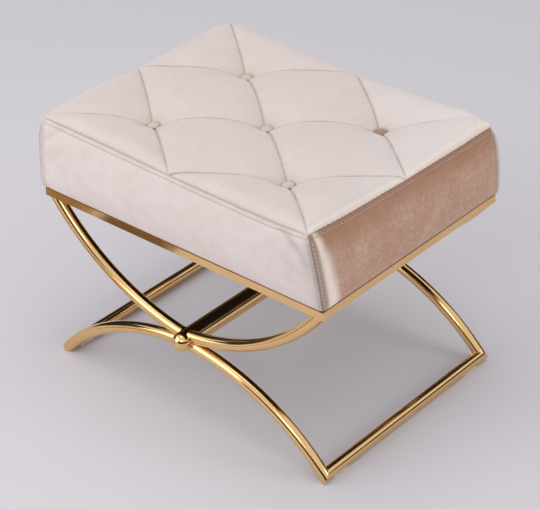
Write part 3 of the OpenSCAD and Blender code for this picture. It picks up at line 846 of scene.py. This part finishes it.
# Painted highlight on both ends: a pale band beside each near corner and a thin pale line at each far corner.
past_seam = np.clip((corner_gap - band_start) / band_rise, 0, 1)
dark_from = band_end + band_widening * np.clip(drop_share, 0, 1) ** 0.5
before_dark = np.clip((dark_from - corner_gap) / band_fall, 0, 1)
near_highlight_band = full_highlight_lean * past_seam * before_dark + seam_lean * (1 - past_seam)
far_highlight_line = 1.4 * bell(corner_gap, 0.004)
lean = lean + np.where(on_ends, np.where(loop_y < 0, near_highlight_band, far_highlight_line), 0)
lean = np.clip(lean, 0, full_highlight_lean)
carry(cushion, "pile_lean_and_highlight", lean, domain="CORNER")
carry(cushion, "on_end", on_ends.astype(float), domain="CORNER")
print("lean from", round(float(lean.min()), 2), "to", round(float(lean.max()), 2))

# %% Tone of the pile
def pile_tone(recipe, lean, patches, flecks, pile):
    """The colour of bare velvet: deep where the lean is 0, pale where it is 1, and a painted highlight above
    1.
    """
    unrest = (patches - 0.5) * 0.9 + (flecks - 0.5) * 1.3
    shade = recipe.maths("ADD", unrest * (1.22 - lean) * 0.58, lean, clamp=True)
    light = recipe.tone(recipe.measure("on_end"), (0.765, 0.690, 0.665), (0.80, 0.680, 0.590))
    base = recipe.tone(shade, (0.490, 0.288, 0.192), light)
    # Above a lean of 1: a patchy, warm painted highlight.
    highlight_patches = recipe.between(recipe.noise(0.010, 4.0, 0.65), 0.25, 0.62)
    painted_highlight = recipe.between(lean, 1.0, full_highlight_lean) * (highlight_patches * 0.5 + 0.45)
    base = recipe.tone(painted_highlight, base, (0.93, 0.81, 0.71))
    return recipe.tone(pile * 0.10, base, (0.40, 0.32, 0.28))


print("pile tone is ready")

# %% Lines and shades on the cushion
line_core = 0.0003


def with_lines(recipe, base, lean, patches):
    """Adds painted shade: buttons' pits, the band under the end seams, pleat and seam lines, corners,
    creases.
    """
    # Painted shade, a tan tone, in the hollow round each button.
    pit = recipe.between(recipe.measure("button_gap"), 0.030, 0.007) * (0.35 + patches * 0.6)
    base = recipe.tone(pit * 0.55, base, (0.66, 0.55, 0.43))
    seam_drop = recipe.measure("below_seam")
    # Painted shade, dark brown, in a band just under the top seam of the ends, but not in their painted
    # highlight.
    shade_under_seam = recipe.between(seam_drop, 0.045, 0.004) * recipe.measure("on_end") * (1 - lean)
    base = recipe.tone(shade_under_seam * 0.75, base, (0.345, 0.170, 0.098))
    stitch_drop = recipe.maths("ABSOLUTE", seam_drop - topstitch_drop)
    broken = 0.55 + recipe.between(recipe.noise(0.03, 2.0), 0.30, 0.62) * 0.45
    in_dark = 1.1 - lean * 0.78
    level_share = broken * recipe.measure("corner_fade") * 0.56
    post_share = recipe.between(seam_drop, 0.001, 0.003) * in_dark * 0.75
    # Thin lines of painted shade in the pleats' folds, round the buttons and in the seam and stitch grooves.
    lines = (
        recipe.between(recipe.measure("level_gap"), 0.0028, line_core) * level_share,
        recipe.between(recipe.measure("steep_gap"), 0.0026, line_core) * broken * 0.25,
        recipe.between(recipe.measure("button_gap"), 0.0125, 0.0100) * 0.35,
        recipe.between(recipe.maths("ABSOLUTE", seam_drop), 0.0014, line_core) * (in_dark * 0.7 + 0.08),
        recipe.between(stitch_drop, 0.0013, line_core) * (in_dark * 0.6 - 0.14),
        recipe.between(recipe.measure("from_corner"), 0.0012, 0.0002) * post_share,
    )
    darkest_shade_line = lines[0]
    for line in lines[1:]:
        darkest_shade_line = recipe.maths("MAXIMUM", darkest_shade_line, line)
    base = recipe.tone(darkest_shade_line, base, (0.22, 0.15, 0.12))
    streaks = recipe.noise(0.003, 3.0, 0.6, recipe.stretched(1.0, 1.0, 0.15))
    beside_corner = recipe.between(recipe.measure("from_corner"), 0.013, 0.003)
    corner_shade = beside_corner * recipe.between(seam_drop, 0.0, 0.006) * streaks * in_dark
    base = recipe.tone(corner_shade * 1.3, base, (0.30, 0.25, 0.22))
    return recipe.tone(recipe.measure("crease_shade") * 0.30, base, (0.30, 0.22, 0.19))


print("lines are ready")

# %% Velvet
def velvet_material(name, on_cushion):
    """Champagne velvet, for the cushion with its lines or for a button with the shade of its pit."""
    recipe = Recipe(name)
    patches = recipe.noise(0.045, 3.0, 0.55)
    flecks = recipe.noise(0.007, 4.0, 0.65)
    pile = recipe.noise(0.0016, 2.0, 0.6)
    lean = recipe.measure("pile_lean_and_highlight")
    base = pile_tone(recipe, lean, patches, flecks, pile)
    if on_cushion:
        base = with_lines(recipe, base, lean, patches)
    else:
        base = recipe.tone(0.16, base, (0.60, 0.50, 0.38))
        base = recipe.tone(recipe.measure("in_shade"), base, (0.12, 0.08, 0.06))
    return recipe.surface({
        "Base Color": base,
        "Roughness": 0.78 + flecks * 0.14,
        "Specular IOR Level": 0.12,
        "Sheen Weight": 0.35,
        "Sheen Roughness": 0.38,
        "Sheen Tint": (1.0, 0.95, 0.92, 1.0),
        "Normal": recipe.bump(flecks, 0.0010, 0.22, recipe.bump(pile, 0.0004, 0.35)),
    })


velvet = velvet_material("champagne_velvet", True)
button_velvet = velvet_material("button_velvet", False)
paint(cushion, velvet)
print("velvet nodes", len(velvet.node_tree.nodes))

# %% [markdown]
# ## Covered buttons
# Each button is a metal shell with velvet pulled over it and gathered behind. It could be a squashed sphere,
# but a real one has a soft shoulder, a nearly flat crown and small gathers round its edge. One is modelled
# from a short cylinder: its top is inset and raised in steps, every second edge of its side is drawn in for
# the gathers, and subdivision rounds it. Its lower sides get painted shade. The other four are copies, each
# set into its own pit. The far right one is dark in the photograph, where its pile leans away, so its copy
# gets another lean and painted shade over all of it.

# %% First button
def lift(height):
    bpy.ops.transform.translate(value=(0, 0, height))


deselect_all()
button_sides = 32
button_radius = 0.0103
button_sink = 0.002
button_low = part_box("buttons")[0].z - button_sink
skirt = 0.002
side_height = 0.0028
bpy.ops.mesh.primitive_cylinder_add(
    vertices=button_sides, radius=button_radius, depth=side_height + skirt,
    end_fill_type="NGON", location=(0, 0, button_low - skirt + (side_height + skirt) / 2))
bpy.ops.object.transform_apply(location=True)
button = bpy.context.object
button.name = "covered_button_middle"
bpy.ops.object.mode_set(mode="EDIT")
pick_faces(button, lambda middle, normal: normal.z > 0.9)
for inset, rise in ((0.0012, 0.0014), (0.0022, 0.0012), (0.0026, 0.0007)):
    bpy.ops.mesh.inset(thickness=inset)
    lift(rise)
bpy.ops.mesh.poke()
bpy.ops.object.mode_set(mode="OBJECT")
print("button from", round(button_low, 4), "with", len(button.data.polygons), "faces")

# %% Gathers and rounding
gather_share = 0.955
bare_crown = 0.0016
shade_reach = 0.0022
deepest_shade = 0.85
edge_points = points_of(button)
spoke_angle = 2 * np.pi / button_sides
spoke = np.rint(np.arctan2(edge_points[:, 1], edge_points[:, 0]) / spoke_angle).astype(int)
at_edge = np.hypot(edge_points[:, 0], edge_points[:, 1]) > button_radius * 0.8
drawn_in = at_edge & (spoke % 2 == 0)
edge_points[drawn_in, :2] *= gather_share
move_points(button, edge_points)
rounding = button.modifiers.new("rounding", "SUBSURF")
rounding.levels = rounding.render_levels = 2
bpy.ops.object.modifier_apply(modifier="rounding")
bpy.ops.object.shade_smooth()
paint(button, button_velvet)
button_heights = points_of(button)[:, 2]
button_top = button_heights.max()
in_shade = np.clip((button_top - button_heights - bare_crown) / shade_reach, 0, deepest_shade)
carry(button, "in_shade", in_shade)
carry(button, "pile_lean_and_highlight", np.full(len(in_shade), 0.78))
print("button faces", len(button.data.polygons), "top at", round(float(button_top), 4))

# %% Copies in their pits
def copy_to(piece, name, matrix):
    """A copy of a piece with its own mesh, moved by a matrix."""
    twin = piece.copy()
    twin.data = piece.data.copy()
    twin.data.transform(matrix)
    twin.name = name
    bpy.context.collection.objects.link(twin)
    return twin


place_names = ("middle", "near_left", "near_right", "far_left", "far_right")
buttons = [button]
for name, (a, b) in list(zip(place_names, button_shares))[1:]:
    shift = Matrix.Translation((a * 2 * half_l, b * 2 * half_w, 0))
    buttons.append(copy_to(button, "covered_button_" + name, shift))
# The far right copy gets no pile lean and a painted shade of at least 0.25 all over.
brown_button = buttons[place_names.index("far_right")].data.attributes
brown_button["pile_lean_and_highlight"].data.foreach_set("value", np.full(len(in_shade), 0.0))
brown_button["in_shade"].data.foreach_set("value", np.maximum(in_shade, 0.25))
for piece in buttons:
    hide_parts("buttons")
print("buttons", len(buttons))

# %% [markdown]
# ## Topstitching
# A row of stitches runs along the side bands just under the top seam, and two rows run down each corner, one
# on each side of its seam. They could be painted as dashes, but real thread stands up and catches light. So
# one stitch is modelled, a short six-sided strand whose ends dive into the cloth, and copied along each row.
# A ray is cast at the cushion for each stitch, so it lies on the swollen surface wherever that is.

# %% One stitch
stitch_length = 0.0040
stitch_pitch = 0.0054
thread_radius = 0.0007
bpy.ops.mesh.primitive_cylinder_add(
    vertices=6, radius=thread_radius, depth=stitch_length, rotation=(0, math.pi / 2, 0))
stitch = bpy.context.object
stitch.name = "stitch"
bpy.ops.object.transform_apply(rotation=True)
bpy.ops.object.mode_set(mode="EDIT")
for cut_place in (-0.3, 0.3):
    bpy.ops.mesh.select_all(action="SELECT")
    bpy.ops.mesh.bisect(plane_co=(cut_place * stitch_length, 0, 0), plane_no=(1, 0, 0))
for way in (-1, 1):
    pick_faces(stitch, lambda middle, normal: normal.x * way > 0.9)
    bpy.ops.transform.resize(value=(1, 0.45, 0.45))
    lift(-thread_radius * 1.5)
bpy.ops.object.mode_set(mode="OBJECT")
bpy.ops.object.shade_smooth()
print("one stitch has", len(stitch.data.polygons), "faces")

# %% Thread
thread_recipe = Recipe("seam_thread")
strands = thread_recipe.noise(0.0007, 2.0, 0.6)
thread = thread_recipe.surface({
    "Base Color": thread_recipe.tone(strands, (0.46, 0.38, 0.32), (0.72, 0.62, 0.53)),
    "Roughness": 0.5 + strands * 0.2,
    "Normal": thread_recipe.bump(strands, 0.0001, 0.6),
})
paint(stitch, thread)
print("thread is ready")

# %% Lay the rows
def stitch_row(name, starts, ray, run):
    """Stitches on the cushion where rays from the starts hit it, lying along run, joined into one piece."""
    row = []
    for start in starts:
        hit, place, normal, _ = cushion.ray_cast(Vector(start), Vector(ray))
        if not hit:
            continue
        ahead = Vector(run)
        ahead = (ahead - normal * ahead.dot(normal)).normalized()
        turned = Matrix((ahead, normal.cross(ahead), normal)).transposed().to_4x4()
        row.append(copy_to(stitch, name, Matrix.Translation(place + normal * thread_radius * 0.5) @ turned))
    deselect_all()
    for piece in row:
        piece.select_set(True)
    bpy.context.view_layer.objects.active = row[0]
    bpy.ops.object.join()
    row[0].name = name
    deselect_all()
    return row[0]


bpy.context.view_layer.update()
outside = 0.4
row_margin = 0.012
row_z = seam_z - topstitch_drop
steps_long = np.arange(-half_l + row_margin, half_l - row_margin, stitch_pitch)
steps_short = np.arange(-half_w + row_margin, half_w - row_margin, stitch_pitch)
stitches = [
    stitch_row("stitches_near", [(s, -outside, row_z) for s in steps_long], (0, 1, 0), (1, 0, 0)),
    stitch_row("stitches_far", [(s, outside, row_z) for s in steps_long], (0, -1, 0), (1, 0, 0)),
    stitch_row("stitches_left", [(-outside, s, row_z) for s in steps_short], (1, 0, 0), (0, 1, 0)),
    stitch_row("stitches_right", [(outside, s, row_z) for s in steps_short], (-1, 0, 0), (0, 1, 0)),
]
print("long row", len(steps_long), "stitches, short row", len(steps_short))

# %% Rows down the corners
steps_up = np.arange(hem_z + 0.006, seam_z - 0.010, stitch_pitch)
for name, sx, sy in (("near_left", -1, -1), ("near_right", 1, -1), ("far_left", -1, 1), ("far_right", 1, 1)):
    outward = Vector((sx, sy, 0)).normalized()
    sideways = Vector((-sy, sx, 0)).normalized()
    corner = Vector((sx * (half_l - corner_radius), sy * (half_w - corner_radius), 0))
    starts = [corner + outward * 0.1 + sideways * way * corner_stitch_gap + Vector((0, 0, z))
              for way in (-1, 1) for z in steps_up]
    stitches.append(stitch_row("stitches_corner_" + name, starts, -outward, (0, 0, 1)))
bpy.data.objects.remove(stitch)
print("rows", len(stitches))

# %% [markdown]
# ## How the cushion sits
# In the photograph the top of the cushion is turned a little against the frame, while its lower edge sits
# square on the rim: the stuffing was pushed round as the cover was pulled on. Its right end also stands a
# little higher and leans in, and two of its corners are pulled in. A soft lattice could bend it so, but the
# shares are plain: every point above the rim is turned about the middle and shifted, more the higher it is,
# and the buttons and stitches go with it.

# %% Turn, lean and lift
twist_angle = math.radians(-2.2)
end_lean = 0.005
end_lift = 0.005
near_pull = 0.002
far_pull = 0.004
right_corner_lift = 0.003
corner_reach = 0.05


def settle(piece):
    """Turns, leans and lifts a piece's points, more the higher they are over the hem."""
    places = points_of(piece)
    rise = np.clip((places[:, 2] - hem_z) / (seam_z - hem_z), 0, 1)
    angle = twist_angle * rise
    x = places[:, 0] * np.cos(angle) - places[:, 1] * np.sin(angle)
    y = places[:, 0] * np.sin(angle) + places[:, 1] * np.cos(angle)
    right_end = np.clip(places[:, 0] / half_l, 0, 1) ** 3
    near_corner, far_corner = (
        bell(np.hypot(half_l - places[:, 0], sy * half_w - places[:, 1]), corner_reach) for sy in (-1, 1))
    x = x - rise ** 2 * (end_lean * right_end + near_pull * near_corner)
    y = y - rise ** 2 * far_pull * far_corner
    z = places[:, 2] + rise * (end_lift * right_end + right_corner_lift * (near_corner + far_corner))
    move_points(piece, np.stack([x, y, z], 1))


for piece in [cushion, *buttons, *stitches]:
    settle(piece)
print("turned by", round(math.degrees(twist_angle), 1), "degrees at the seam")

# %% [markdown]
# ## Finish
# Each new piece rides on the one body of the frame, so that it stays with it. The cushion takes the place of
# the plain solids of the filling and the cover, which are hidden.

# %% Ride and replace
for piece in [cushion, *buttons, *stitches]:
    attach(piece, "root")
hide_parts("cover_top", "cover_side_near", "cover_side_far", "cover_side_left", "cover_side_right",
            "wadding", "foam")
print("cushion triangles", sum(len(face.vertices) - 2 for face in cushion.data.polygons))
